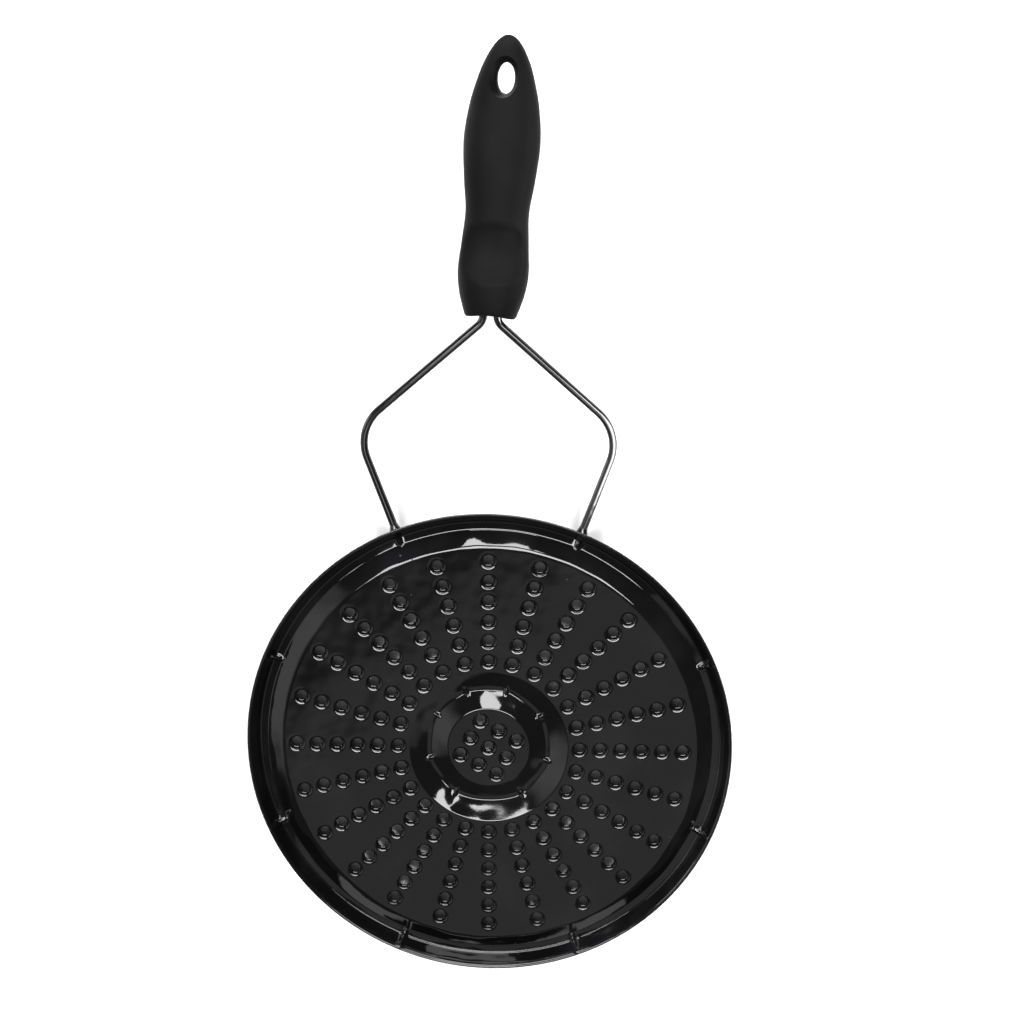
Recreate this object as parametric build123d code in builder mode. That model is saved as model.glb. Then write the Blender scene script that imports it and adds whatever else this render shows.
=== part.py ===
"""Stovetop heat diffuser plate: a pierced, dimpled dish of enamelled sheet steel
on a bent wire frame, with a moulded grip that has a hang hole and a thumb recess.

Millimetres. +Z is up, out of the dish, and +Y runs from the plate to the grip.
The origin is on the plate's axis, at the height of the surface that it rests on.
"""

import os
from math import cos, radians, sin, tan

from build123d import *

# ---------------------------------------------------------------- driving sizes
# Plate: one pressed sheet, seen in section from its axis out to its rim.
sheet = 1.0  # thickness of the enamelled sheet
plate_radius = 105.0  # out to the rim of the lip
lip_width = 4.6  # from the outer crease to the rim
lip_height = 6.4  # from the outer crease up to the top of the lip
lip_edge = 1.3  # width of the flat edge round the top of the lip
groove_depth = 3.5  # both ring grooves, below the floor
outer_slope = 10.4  # from the floor's rim down to the outer crease
outer_step = 5.2  # how far the steeper upper part of that slope reaches
outer_step_share = 0.7  # how much of the depth the steeper part takes
outer_crease_flat = 1.8  # flat bottom of the outer groove, on which the plate rests
inner_crease_flat = 1.6  # flat bottom of the inner groove
inner_floor_bend = 3.0  # bend radii of the upper surface, from the axis outwards
inner_crease_bend = sheet + 0.5
outer_floor_bend = 5.0
outer_step_bend = 6.0
outer_crease_bend = 3.0
crease_bend = sheet + 0.2
lip_bend = sheet + 0.5
rim_round = 0.4 * sheet  # on both edges of the rim
centre_floor_radius = 17.6  # flat middle of the plate
inner_slope_in = 8.6  # from the flat middle down to the inner crease
inner_slope_out = 8.5  # from the inner crease up to the floor

# Dimples: pressed down, each with a vent hole through its bottom.
hole_radius = 2.15
dimple_radius = 3.8  # at the floor
dimple_foot = 2.75  # at the bottom
dimple_depth = 1.6
dimple_wall = 0.7  # wall of a dimple, measured level
spokes = 24  # radial rows of dimples
ring_pitch = 8.9  # from ring to ring along a row
ring_margin = 6.0  # from the outermost ring to the floor's rim
grid_pitch = 9.0  # square group in the middle
grid_side = 3
grid_turn = -29.0  # degrees, seen from above

# Pinches: small ribs pressed across both creases.
outer_pinch_count = 8
outer_pinch_start = 22.5  # degrees from +X
inner_pinch_angles = (31, 73, 112, 150, 195, 237, 303, 345)  # degrees from +X
outer_pinch_width = 1.4
outer_pinch_reach = 4.4  # along the slope, in from the crease
outer_pinch_height = 2.4
outer_pinch_toe = 0.4  # height of its inner end above the groove
outer_pinch_knee_height = 1.5
outer_pinch_knee_in = 1.0  # from the crease in to its knee
outer_pinch_lap = 0.9  # how far it runs out past the crease
outer_pinch_heel = 0.2  # height of the foot of its outer face
inner_pinch_width = 1.6
inner_pinch_reach = 3.4
inner_pinch_height = 1.4
inner_pinch_toe = 1.0  # height of both its ends above the groove

# Wire frame: two bent wires, welded to the outside of the lip.
wire_radius = 1.7
wire_height = 3.0  # of the leg's end above the resting surface
frame_rise = 4.0  # degrees by which the frame climbs towards the grip
leg_place = 22.1  # degrees from +Y round the plate, where a leg meets the lip
leg_angle = 19.6  # degrees from +Y, of the leg itself
leg_length = 45.3
leg_tuck = 0.9  # how far the leg's end runs in under the lip's edge
arm_angle = 41.3  # degrees, of the arm above the X direction
shoulder_bend = 19.0  # centreline radius
neck_bend = 6.0  # centreline radius
neck_half_gap = 2.9  # from the neck's middle to each wire
neck_shift = 1.0  # of the neck's middle, to the right of the plate's axis
weld_radius = 2.6
weld_reach = 2.4  # of the weld bead, out along the leg
weld_bite = 2.2  # of the weld bead, in under the lip from the leg's end
weld_tip_wall = 0.1  # of the weld bead round the wire, at its outer end

# Grip: a moulding around the two wires.
grip_start = 1.9  # from the neck to the grip's base
grip_lean = 4.1  # degrees by which the grip stands off the frame's middle
grip_length = 109.3
grip_base_round = 1.2
socket_depth = 34.0  # how deep the wires reach into the grip
socket_clearance = 0.05
hang_hole_place = 93.2  # from the base
hang_hole_half_width = 3.3
hang_hole_half_length = 5.8
hang_mouth_spread = 1.9  # how much wider the hole is at both faces
hang_mouth_depth = 2.6
hang_hole_section = 9  # the row of grip_sections nearest the hang hole
recess_place = 26.0  # from the base to the middle of the thumb recess
recess_radius = 26.0
recess_depth = 3.0
recess_section = 3  # the row of grip_sections nearest the thumb recess

# Half width and half thickness of the grip at each share of its length.
grip_sections = [
    (0.000, 9.9, 7.2),
    (0.040, 11.5, 8.0),
    (0.090, 13.2, 8.8),
    (0.165, 14.2, 9.2),
    (0.270, 13.4, 8.9),
    (0.385, 12.6, 8.4),
    (0.500, 14.0, 8.5),
    (0.635, 15.0, 8.4),
    (0.755, 13.6, 7.7),
    (0.840, 11.4, 6.9),
    (0.915, 8.6, 5.7),
    (0.962, 5.9, 4.2),
    (1.000, 1.9, 1.7),
]

# ---------------------------------------------------------------- worked-out sizes
groove_level = sheet
floor_level = groove_level + groove_depth
lip_level = groove_level + lip_height
crease_radius = plate_radius - lip_width
floor_radius = crease_radius - outer_slope
inner_crease_radius = centre_floor_radius + inner_slope_in
inner_floor_radius = inner_crease_radius + inner_slope_out
step_level = floor_level - outer_step_share * groove_depth

outer_ring_radius = floor_radius - ring_margin
dimple_outside = dimple_radius + dimple_wall
ring_room = outer_ring_radius - inner_floor_radius - dimple_radius
ring_count = 1 + int(ring_room / ring_pitch)

leg_root_x = plate_radius * sin(radians(leg_place))
leg_root_y = plate_radius * cos(radians(leg_place))
leg_x, leg_y = sin(radians(leg_angle)), cos(radians(leg_angle))
shoulder_x = leg_root_x + leg_length * leg_x
shoulder_y = leg_length * leg_y
neck_y = shoulder_y + (shoulder_x - neck_half_gap) * tan(radians(arm_angle))
lean_x, lean_y = sin(radians(grip_lean)), cos(radians(grip_lean))

# The frame lies in one plane, which climbs from the lip towards the grip.
frame_plane = Plane(
    origin=(0, leg_root_y, wire_height),
    x_dir=(1, 0, 0),
    z_dir=(0, -sin(radians(frame_rise)), cos(radians(frame_rise))),
)
grip_base = frame_plane.from_local_coords(
    Vector(neck_shift + grip_start * lean_x, neck_y + grip_start * lean_y, 0)
)
grip_axis = frame_plane.from_local_coords(Vector(lean_x, lean_y, 0)) - frame_plane.origin
grip_line = Axis(grip_base, grip_axis)
grip_across = grip_axis.cross(frame_plane.z_dir)
grip_end_on = Plane(origin=grip_base, x_dir=grip_across, z_dir=grip_axis)
grip_face_on = Plane(origin=grip_base, x_dir=grip_across, z_dir=frame_plane.z_dir)
grip_side_on = Plane(origin=grip_base, x_dir=grip_axis, z_dir=grip_across)

# ---------------------------------------------------------------- plate section
# Upper surface of the sheet, from the axis to the rim, as (radius, height).
skin_points = [
    (0, floor_level),
    (centre_floor_radius, floor_level),
    (inner_crease_radius - inner_crease_flat / 2, groove_level),
    (inner_crease_radius + inner_crease_flat / 2, groove_level),
    (inner_floor_radius, floor_level),
    (floor_radius, floor_level),
    (floor_radius + outer_step, step_level),
    (crease_radius - outer_crease_flat, groove_level),
    (crease_radius, groove_level),
    (plate_radius - lip_edge, lip_level),
    (plate_radius, lip_level),
]
skin_bends = [
    inner_floor_bend,
    inner_crease_bend,
    inner_crease_bend,
    inner_floor_bend,
    outer_floor_bend,
    outer_step_bend,
    outer_crease_bend,
    crease_bend,
    lip_bend,
]

# ---------------------------------------------------------------- pinches
with BuildPart() as outer_pinch:
    with BuildSketch(Plane.XZ):
        with BuildLine():
            Polyline(
                (crease_radius - outer_pinch_reach, groove_level + outer_pinch_toe),
                (crease_radius - outer_pinch_knee_in, groove_level + outer_pinch_knee_height),
                (crease_radius + outer_pinch_lap, groove_level + outer_pinch_height),
                (crease_radius + outer_pinch_lap, groove_level + outer_pinch_heel),
                (crease_radius, groove_level - sheet / 2),
                close=True,
            )
        make_face()
    extrude(amount=outer_pinch_width / 2, both=True)

with BuildPart() as inner_pinch:
    with BuildSketch(Plane.XZ):
        with BuildLine():
            Polyline(
                (inner_crease_radius - inner_pinch_reach, groove_level + inner_pinch_toe),
                (inner_crease_radius, groove_level + inner_pinch_height),
                (inner_crease_radius + inner_pinch_reach, groove_level + inner_pinch_toe),
                (inner_crease_radius, groove_level - sheet / 2),
                close=True,
            )
        make_face()
    extrude(amount=inner_pinch_width / 2, both=True)

# ---------------------------------------------------------------- plate
with BuildPart() as plate:
    with BuildSketch(Plane.XZ):
        with BuildLine():
            FilletPolyline(*skin_points, radius=skin_bends)
            offset(amount=sheet, side=Side.RIGHT)
        make_face()
    revolve(axis=Axis.Z)
    rim_edges = plate.edges().filter_by(GeomType.CIRCLE).group_by(SortBy.RADIUS)[-1]
    fillet(rim_edges, radius=rim_round)

    with PolarLocations(0, outer_pinch_count, start_angle=outer_pinch_start):
        add(outer_pinch.part)
    with Locations(*[Location((0, 0, 0), (0, 0, angle)) for angle in inner_pinch_angles]):
        add(inner_pinch.part)

    dimple_spots = []
    for ring in range(ring_count):
        ring_spots = PolarLocations(outer_ring_radius - ring * ring_pitch, spokes)
        dimple_spots += ring_spots.local_locations
    grid_spots = GridLocations(grid_pitch, grid_pitch, grid_side, grid_side)
    for spot in grid_spots.local_locations:
        dimple_spots.append(Location((0, 0, 0), (0, 0, grid_turn)) * spot)

    bottom_up = (Align.CENTER, Align.CENTER, Align.MIN)
    dimple_bottom = Location((0, 0, floor_level - dimple_depth))
    wall_bottom = Location((0, 0, floor_level - dimple_depth - sheet))
    with Locations(*[wall_bottom * spot for spot in dimple_spots]):
        Cone(dimple_foot + dimple_wall, dimple_outside, dimple_depth, align=bottom_up)
    with Locations(*[dimple_bottom * spot for spot in dimple_spots]):
        Cone(dimple_foot, dimple_radius, dimple_depth, align=bottom_up, mode=Mode.SUBTRACT)
        Cylinder(hole_radius, 3 * sheet, mode=Mode.SUBTRACT)
plate.part.label = "plate"

# The space inside the dish, which trims the weld beads to the outside of the lip.
with BuildPart() as dish_space:
    with BuildSketch(Plane.XZ):
        with BuildLine():
            skin = FilletPolyline(*skin_points, radius=skin_bends)
            Polyline(skin @ 1, (plate_radius, 2 * lip_level), (0, 2 * lip_level), skin @ 0)
        make_face()
    revolve(axis=Axis.Z)

# ---------------------------------------------------------------- wires and welds
wire_paths = {}
wires = {}
welds = {}
for side_name, side in (("left", -1), ("right", 1)):
    leg_end = (side * (leg_root_x - leg_tuck * leg_x), -leg_tuck * leg_y)
    shoulder = (side * shoulder_x, shoulder_y)
    neck = (neck_shift + side * neck_half_gap, neck_y)
    inner_end = (neck[0] + socket_depth * lean_x, neck_y + socket_depth * lean_y)
    with BuildLine(frame_plane) as path:
        FilletPolyline(leg_end, shoulder, neck, inner_end, radius=[shoulder_bend, neck_bend])
    wire_paths[side_name] = path.line

    with BuildPart() as wire:
        with BuildSketch(Plane(origin=path.line @ 0, z_dir=path.line % 0)):
            Circle(wire_radius)
        sweep(path=path.line)
    wire.part.label = "wire_" + side_name
    wires[side_name] = wire.part

    weld_plane = Plane(origin=path.line @ 0, z_dir=path.line % 0)
    with BuildPart() as weld:
        with BuildSketch(weld_plane.offset(-weld_bite)) as bead_foot:
            Circle(weld_radius)
        with BuildSketch(weld_plane) as bead_middle:
            Circle(weld_radius)
        with BuildSketch(weld_plane.offset(weld_reach)) as bead_tip:
            Circle(wire_radius + weld_tip_wall)
        loft()
        add(wire.part, mode=Mode.SUBTRACT)
        add(plate.part, mode=Mode.SUBTRACT)
        add(dish_space.part, mode=Mode.SUBTRACT)
    weld.part.label = "weld_" + side_name
    welds[side_name] = weld.part

# ---------------------------------------------------------------- grip
with BuildPart() as grip:
    for share, half_width, half_thickness in grip_sections:
        with BuildSketch(grip_end_on.offset(share * grip_length)):
            Ellipse(half_width, half_thickness)
    loft()
    fillet(grip.faces().sort_by(grip_line)[0].edges(), radius=grip_base_round)

    recess_half_width, recess_half_thickness = grip_sections[recess_section][1:]
    recess_floor = recess_half_thickness - recess_depth
    with BuildSketch(grip_side_on):
        with Locations((recess_place, recess_floor + recess_radius)):
            Circle(recess_radius)
    extrude(amount=2 * recess_half_width, both=True, mode=Mode.SUBTRACT)

    with BuildSketch(grip_face_on):
        with Locations((0, hang_hole_place)):
            Ellipse(hang_hole_half_width, hang_hole_half_length)
    extrude(amount=grip_length, both=True, mode=Mode.SUBTRACT)
    hang_face = grip_sections[hang_hole_section][2]
    for face_side in (1, -1):
        with BuildSketch(grip_face_on.offset(face_side * hang_face)):
            with Locations((0, hang_hole_place)):
                Ellipse(
                    hang_hole_half_width + hang_mouth_spread,
                    hang_hole_half_length + hang_mouth_spread,
                )
        with BuildSketch(grip_face_on.offset(face_side * (hang_face - hang_mouth_depth))):
            with Locations((0, hang_hole_place)):
                Ellipse(hang_hole_half_width, hang_hole_half_length)
        loft(mode=Mode.SUBTRACT)

    for path_line in wire_paths.values():
        with BuildSketch(Plane(origin=path_line @ 0, z_dir=path_line % 0)):
            Circle(wire_radius + socket_clearance)
        sweep(path=path_line, mode=Mode.SUBTRACT)
grip.part.label = "grip"

# ---------------------------------------------------------------- files
os.makedirs("parts", exist_ok=True)
export_step(plate.part, "parts/plate.step")
for side_name in wires:
    export_step(wires[side_name], f"parts/wire_{side_name}.step")
    export_step(welds[side_name], f"parts/weld_{side_name}.step")
export_step(grip.part, "parts/grip.step")
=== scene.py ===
"""Stovetop heat diffuser plate: the looks of an enamelled steel dish on a wire frame with a moulded grip.

The script is laid out as an add-on. Each operator builds one piece, or a pair of like pieces, in
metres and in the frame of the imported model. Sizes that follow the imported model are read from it.
"""

import math
import random

import bmesh
import bpy
from bpy.props import FloatProperty, FloatVectorProperty, IntProperty, PointerProperty
from mathutils import Matrix, Vector, noise


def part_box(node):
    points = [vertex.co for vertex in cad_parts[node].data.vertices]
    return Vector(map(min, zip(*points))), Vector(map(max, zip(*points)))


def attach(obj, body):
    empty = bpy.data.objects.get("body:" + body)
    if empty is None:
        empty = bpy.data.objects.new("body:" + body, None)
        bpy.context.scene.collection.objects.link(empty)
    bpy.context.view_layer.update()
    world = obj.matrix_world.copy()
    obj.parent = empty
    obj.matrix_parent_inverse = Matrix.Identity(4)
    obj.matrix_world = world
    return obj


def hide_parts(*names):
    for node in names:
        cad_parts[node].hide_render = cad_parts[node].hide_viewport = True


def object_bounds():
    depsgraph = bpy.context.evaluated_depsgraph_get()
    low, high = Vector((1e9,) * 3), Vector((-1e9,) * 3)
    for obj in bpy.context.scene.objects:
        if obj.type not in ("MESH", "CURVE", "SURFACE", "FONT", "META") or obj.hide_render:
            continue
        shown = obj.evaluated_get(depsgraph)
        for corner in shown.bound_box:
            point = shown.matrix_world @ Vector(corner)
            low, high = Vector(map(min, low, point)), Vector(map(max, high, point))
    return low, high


bl_info = {
    "name": "Heat Diffuser Plate",
    "version": (1, 0, 0),
    "blender": (4, 5, 0),
    "location": "View3D > Sidebar > Diffuser",
    "description": "Builds an enamelled heat diffuser plate with a wire frame and a grip",
    "category": "Object",
}

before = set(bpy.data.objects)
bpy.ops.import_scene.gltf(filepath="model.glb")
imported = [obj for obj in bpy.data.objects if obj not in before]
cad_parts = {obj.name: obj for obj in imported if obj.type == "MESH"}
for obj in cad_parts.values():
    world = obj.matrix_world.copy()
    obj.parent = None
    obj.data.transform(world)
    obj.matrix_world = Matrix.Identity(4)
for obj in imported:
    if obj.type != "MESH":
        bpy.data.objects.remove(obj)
cad_low, cad_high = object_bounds()
BODY = "root"
MM = 0.001
PLATE_LOW, PLATE_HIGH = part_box("plate")
PLATE_RADIUS = max(PLATE_HIGH.x, PLATE_HIGH.y)
UP = Vector((0, 0, 1))
ORIGIN = Vector((0, 0, 0))


# ------------------------------------------------------------------ settings
def length_of(name, description, millimetres):
    """A length that a user can change."""
    return FloatProperty(name=name, description=description, default=millimetres * MM, unit="LENGTH")


def angle_of(name, description, degrees):
    """An angle that a user can change."""
    return FloatProperty(
        name=name, description=description, default=math.radians(degrees), subtype="ANGLE"
    )


def colour_of(name, description, value):
    """A colour that a user can change."""
    return FloatVectorProperty(name=name, description=description, default=value, subtype="COLOR")


class DiffuserPlateSettings(bpy.types.PropertyGroup):
    """Sizes of the pressed and pierced dish."""

    sheet: length_of("Sheet", "Thickness of the enamelled sheet", 1.0)
    lip_width: length_of("Lip width", "From the outer crease to the rim", 4.6)
    lip_edge: length_of("Lip edge", "Flat edge round the top of the lip", 1.3)
    groove_depth: length_of("Groove depth", "Both grooves, below the floor", 3.5)
    outer_slope: length_of("Outer slope", "Floor rim to outer crease", 10.4)
    centre_floor: length_of("Centre floor", "Radius of the flat middle", 17.6)
    inner_crease: length_of("Inner crease", "Radius of the inner groove", 26.2)
    inner_floor: length_of("Inner floor", "Where the floor starts", 34.7)
    spokes: IntProperty(name="Spokes", description="Radial rows of dimples", default=24)
    rings: IntProperty(name="Rings", description="Dimples along each row", default=6)
    ring_pitch: length_of("Ring pitch", "Along a row of dimples", 8.9)
    ring_margin: length_of("Ring margin", "Outermost ring to floor rim", 6.0)
    grid_pitch: length_of("Grid pitch", "Square group in the middle", 9.0)
    grid_turn: angle_of("Grid turn", "Turn of the middle group", -29)
    dimple_depth: length_of("Dimple depth", "Floor to dimple bottom", 1.6)
    hole_radius: length_of("Hole radius", "Vent in each dimple", 2.15)
    unevenness: FloatProperty(
        name="Unevenness", description="How much the dimples differ from each other", default=0.05
    )


class DiffuserWireSettings(bpy.types.PropertyGroup):
    """Sizes of the wire frame."""

    radius: length_of("Radius", "Radius of the wire", 1.7)
    height: length_of("Height", "Leg ends above the rest surface", 3.0)
    rise: angle_of("Rise", "Climb of the frame to the grip", 4)
    leg_place: angle_of("Leg place", "Foot, round from +Y", 22.1)
    leg_angle: angle_of("Leg angle", "Leg, away from +Y", 19.6)
    leg_length: length_of("Leg length", "Rim to shoulder", 45.3)
    leg_tuck: length_of("Leg tuck", "How far a leg runs in under the lip", 0.9)
    arm_angle: angle_of("Arm angle", "Arm, above X", 41.3)
    shoulder_bend: length_of("Shoulder bend", "Radius of the big bend", 19.0)
    neck_bend: length_of("Neck bend", "Radius of the bend below the grip", 6.0)
    neck_half_gap: length_of("Neck half gap", "Middle to each wire", 2.9)
    neck_shift: length_of("Neck shift", "Neck, right of the axis", 1.0)
    socket_run: length_of("Socket run", "Wire past the neck, in the grip", 14)
    lean: angle_of("Lean", "Lean of the grip", 4.1)


class DiffuserGripSettings(bpy.types.PropertyGroup):
    """Sizes of the moulded grip."""

    start: length_of("Start", "Neck to the grip's base", 1.9)
    length: length_of("Length", "Base to tip", 109.3)
    hole_place: length_of("Hole place", "Base to the hang hole", 93.2)
    hole_half_width: length_of("Hole half width", "Across the grip", 3.3)
    hole_half_length: length_of("Hole half length", "Along the grip", 5.8)
    recess_place: length_of("Recess place", "Base to the thumb recess", 26.8)
    recess_half_length: length_of("Recess half length", "Along the grip", 12.2)
    recess_depth: length_of("Recess depth", "At its middle", 3.2)
    base_arch: length_of("Base arch", "Rise of the base between the wires", 1.7)


class DiffuserFinishSettings(bpy.types.PropertyGroup):
    """Colours of the finishes and the studio."""

    enamel: colour_of("Enamel", "Black enamel", (0.0028, 0.0028, 0.0031))
    plastic: colour_of("Plastic", "Black plastic", (0.0036, 0.0034, 0.0037))
    backdrop: colour_of("Backdrop", "Pale studio floor", (0.86, 0.86, 0.86))


# ------------------------------------------------------------------ finishes
def new_group(name, inputs, outputs):
    """An empty shader node group with named value inputs and outputs."""
    group = bpy.data.node_groups.new(name, "ShaderNodeTree")
    for label, kind, value in inputs:
        socket = group.interface.new_socket(name=label, in_out="INPUT", socket_type=kind)
        if value is not None:
            socket.default_value = value
    for label, kind in outputs:
        group.interface.new_socket(name=label, in_out="OUTPUT", socket_type=kind)
    source = group.nodes.new("NodeGroupInput")
    target = group.nodes.new("NodeGroupOutput")
    return group, source, target


def math_node(nodes, links, operation, first, second=None, clamp=False):
    """A Math node whose inputs are sockets or plain numbers."""
    node = nodes.new("ShaderNodeMath")
    node.operation = operation
    node.use_clamp = clamp
    for index, value in enumerate((first, second)):
        if value is None:
            continue
        if isinstance(value, (int, float)):
            node.inputs[index].default_value = value
        else:
            links.new(value, node.inputs[index])
    return node.outputs["Value"]


def noise_node(nodes, links, vector, scale, detail=2.0, roughness=0.5):
    """A Noise Texture on the given vector; scale is a socket or a number."""
    node = nodes.new("ShaderNodeTexNoise")
    node.inputs["Detail"].default_value = detail
    node.inputs["Roughness"].default_value = roughness
    links.new(vector, node.inputs["Vector"])
    if isinstance(scale, (int, float)):
        node.inputs["Scale"].default_value = scale
    else:
        links.new(scale, node.inputs["Scale"])
    return node.outputs["Fac"]


def make_wave_group():
    """Height of a fired enamel surface: slow waves of the sheet under a fine orange peel."""
    inputs = [
        ("Vector", "NodeSocketVector", None),
        ("Wave Scale", "NodeSocketFloat", 60.0),
        ("Wave", "NodeSocketFloat", 1.0),
        ("Peel Scale", "NodeSocketFloat", 500.0),
        ("Peel", "NodeSocketFloat", 0.1),
    ]
    group, source, target = new_group("fired_wave", inputs, [("Height", "NodeSocketFloat")])
    nodes, links = group.nodes, group.links
    vector = source.outputs["Vector"]
    wave = noise_node(nodes, links, vector, source.outputs["Wave Scale"], detail=2.0)
    peel = noise_node(nodes, links, vector, source.outputs["Peel Scale"], detail=2.0)
    slow = math_node(nodes, links, "MULTIPLY", wave, source.outputs["Wave"])
    fine = math_node(nodes, links, "MULTIPLY", peel, source.outputs["Peel"])
    links.new(math_node(nodes, links, "ADD", slow, fine), target.inputs["Height"])
    return group


def make_speck_group():
    """A mask of scattered small specks, such as pin holes in enamel or dust on plastic."""
    inputs = [
        ("Vector", "NodeSocketVector", None),
        ("Scale", "NodeSocketFloat", 250.0),
        ("Size", "NodeSocketFloat", 0.1),
    ]
    group, source, target = new_group("specks", inputs, [("Mask", "NodeSocketFloat")])
    nodes, links = group.nodes, group.links
    cells = nodes.new("ShaderNodeTexVoronoi")
    links.new(source.outputs["Vector"], cells.inputs["Vector"])
    links.new(source.outputs["Scale"], cells.inputs["Scale"])
    few = noise_node(nodes, links, source.outputs["Vector"], 45.0, detail=1.0)
    patchy = math_node(nodes, links, "GREATER_THAN", few, 0.6)
    near = math_node(nodes, links, "LESS_THAN", cells.outputs["Distance"], source.outputs["Size"])
    links.new(math_node(nodes, links, "MULTIPLY", near, patchy), target.inputs["Mask"])
    return group


def make_smudge_group():
    """A soft mask of handling marks, for small changes of roughness and colour."""
    inputs = [("Vector", "NodeSocketVector", None), ("Scale", "NodeSocketFloat", 25.0)]
    group, source, target = new_group("smudges", inputs, [("Mask", "NodeSocketFloat")])
    nodes, links = group.nodes, group.links
    broad = noise_node(nodes, links, source.outputs["Vector"], source.outputs["Scale"], detail=4.0)
    ramp = nodes.new("ShaderNodeMapRange")
    ramp.interpolation_type = "SMOOTHSTEP"
    ramp.inputs["From Min"].default_value = 0.45
    ramp.inputs["From Max"].default_value = 0.7
    links.new(broad, ramp.inputs["Value"])
    links.new(ramp.outputs["Result"], target.inputs["Mask"])
    return group


def place_group(nodes, group, values):
    """A group node in a material, with its own values."""
    node = nodes.new("ShaderNodeGroup")
    node.node_tree = group
    for label, value in values.items():
        node.inputs[label].default_value = value
    return node


def mix_colours(nodes, links, mask, first, second):
    """Mixes two plain colours by a mask."""
    node = nodes.new("ShaderNodeMix")
    node.data_type = "RGBA"
    links.new(mask, node.inputs["Factor"])
    node.inputs["A"].default_value = first
    node.inputs["B"].default_value = second
    return node.outputs["Result"]


def map_value(nodes, links, mask, low, high):
    """Spreads a 0 to 1 mask between two values."""
    node = nodes.new("ShaderNodeMapRange")
    node.inputs["To Min"].default_value = low
    node.inputs["To Max"].default_value = high
    links.new(mask, node.inputs["Value"])
    return node.outputs["Result"]


def bump_node(nodes, links, height, distance, strength=1.0, normal=None):
    """A Bump node; distance is in metres for a height of 1."""
    node = nodes.new("ShaderNodeBump")
    node.inputs["Strength"].default_value = strength
    node.inputs["Distance"].default_value = distance
    links.new(height, node.inputs["Height"])
    if normal is not None:
        links.new(normal, node.inputs["Normal"])
    return node.outputs["Normal"]


def start_material(name, colour, roughness, specular):
    """A material with its Principled shader and an Object coordinate."""
    material = bpy.data.materials.new(name)
    material.use_nodes = True
    nodes, links = material.node_tree.nodes, material.node_tree.links
    shader = nodes["Principled BSDF"]
    shader.inputs["Base Color"].default_value = (*colour, 1.0)
    shader.inputs["Roughness"].default_value = roughness
    shader.inputs["Specular IOR Level"].default_value = specular
    place = nodes.new("ShaderNodeTexCoord").outputs["Object"]
    return material, nodes, links, shader, place


def enamel_material(name, colour, groups, wave_scale, wave_height, peel):
    """Deep black vitreous enamel: glossy, with slow waves, orange peel and a few pin holes."""
    thin_spots, pit_roughness, pit_depth = 2.2, 0.4, 0.06 * MM
    material, nodes, links, shader, place = start_material(name, colour, roughness=0.06, specular=0.6)
    wave = place_group(
        nodes,
        groups["wave"],
        {"Wave Scale": wave_scale, "Wave": 1.0, "Peel Scale": 620.0, "Peel": peel},
    )
    smudge = place_group(nodes, groups["smudge"], {"Scale": 30.0})
    speck = place_group(nodes, groups["speck"], {"Scale": 210.0, "Size": 0.09})
    for node in (wave, smudge, speck):
        links.new(place, node.inputs["Vector"])
    thin = tuple(thin_spots * value for value in colour)
    tint = mix_colours(nodes, links, smudge.outputs["Mask"], (*colour, 1.0), (*thin, 1.0))
    links.new(tint, shader.inputs["Base Color"])
    dull = map_value(nodes, links, smudge.outputs["Mask"], 0.045, 0.1)
    pitted = math_node(nodes, links, "MULTIPLY", speck.outputs["Mask"], pit_roughness)
    links.new(math_node(nodes, links, "ADD", dull, pitted), shader.inputs["Roughness"])
    slow = bump_node(nodes, links, wave.outputs["Height"], wave_height)
    pits = math_node(nodes, links, "MULTIPLY", speck.outputs["Mask"], -1.0)
    links.new(bump_node(nodes, links, pits, pit_depth, normal=slow), shader.inputs["Normal"])
    return material


def plastic_material(name, colour, groups):
    """Matte moulded plastic with a fine spark texture, a little rubbed where a hand holds it."""
    rubbed_shade, fleck_roughness, grain_depth = 1.45, 0.12, 0.03 * MM
    material, nodes, links, shader, place = start_material(name, colour, roughness=0.5, specular=0.062)
    smudge = place_group(nodes, groups["smudge"], {"Scale": 38.0})
    speck = place_group(nodes, groups["speck"], {"Scale": 420.0, "Size": 0.12})
    for node in (smudge, speck):
        links.new(place, node.inputs["Vector"])
    grain = noise_node(nodes, links, place, 2600.0, detail=3.0, roughness=0.6)
    cells = nodes.new("ShaderNodeTexVoronoi")
    cells.inputs["Scale"].default_value = 1500.0
    links.new(place, cells.inputs["Vector"])
    rubbed = tuple(rubbed_shade * value for value in colour)
    tint = mix_colours(nodes, links, smudge.outputs["Mask"], (*colour, 1.0), (*rubbed, 1.0))
    links.new(tint, shader.inputs["Base Color"])
    dull = map_value(nodes, links, smudge.outputs["Mask"], 0.5, 0.42)
    flecked = math_node(nodes, links, "MULTIPLY", speck.outputs["Mask"], fleck_roughness)
    links.new(math_node(nodes, links, "ADD", dull, flecked), shader.inputs["Roughness"])
    pebble = math_node(nodes, links, "MULTIPLY", cells.outputs["Distance"], 0.6)
    relief = math_node(nodes, links, "ADD", pebble, grain)
    links.new(bump_node(nodes, links, relief, grain_depth, strength=0.7), shader.inputs["Normal"])
    return material


def make_finishes():
    """Every material of the object, made once."""
    colours = bpy.context.scene.diffuser_finish
    groups = {"wave": make_wave_group(), "speck": make_speck_group(), "smudge": make_smudge_group()}
    enamel = tuple(colours.enamel)
    enamel_material("dish_enamel_gloss", enamel, groups, wave_scale=46.0, wave_height=0.5 * MM, peel=0.01)
    enamel_material("frame_enamel_gloss", enamel, groups, wave_scale=130.0, wave_height=0.1 * MM, peel=0.03)
    plastic_material("grip_plastic_satin", tuple(colours.plastic), groups)


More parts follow.
